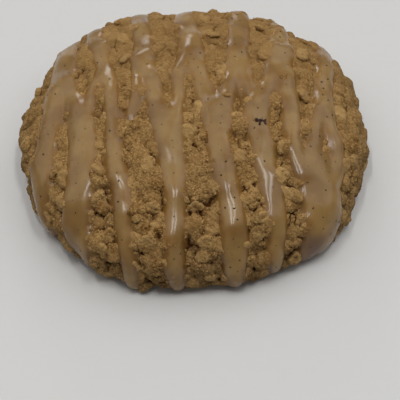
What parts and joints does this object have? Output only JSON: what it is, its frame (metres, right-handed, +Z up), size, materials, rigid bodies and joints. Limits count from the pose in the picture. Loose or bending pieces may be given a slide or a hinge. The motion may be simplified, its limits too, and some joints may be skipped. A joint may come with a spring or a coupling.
{
  "type": "oatmeal raisin cookie",
  "caption": "Round drop cookie with a pebbly domed top of baked oats, a bulging rim and a flat foot to lie on, drizzled with glossy spiced icing.",
  "frame": {"origin": "middle of the flat foot, on the surface that the cookie lies on", "axes": "+Z up through the dome, -Y towards the side that is looked at from the front, +X to its right; the icing runs from +Y to -Y"},
  "size_m": [0.0898, 0.0878, 0.025],
  "materials": {
    "baked_oats": "matt, coarse golden brown oat crumb",
    "icing": "glossy, slightly clear tan glaze",
    "raisin": "dark, wrinkled, slightly waxy",
    "spice": "matt dark brown grains"
  },
  "bodies": {
    "root": {"cookie": "baked_oats"}
  },
  "joints": []
}
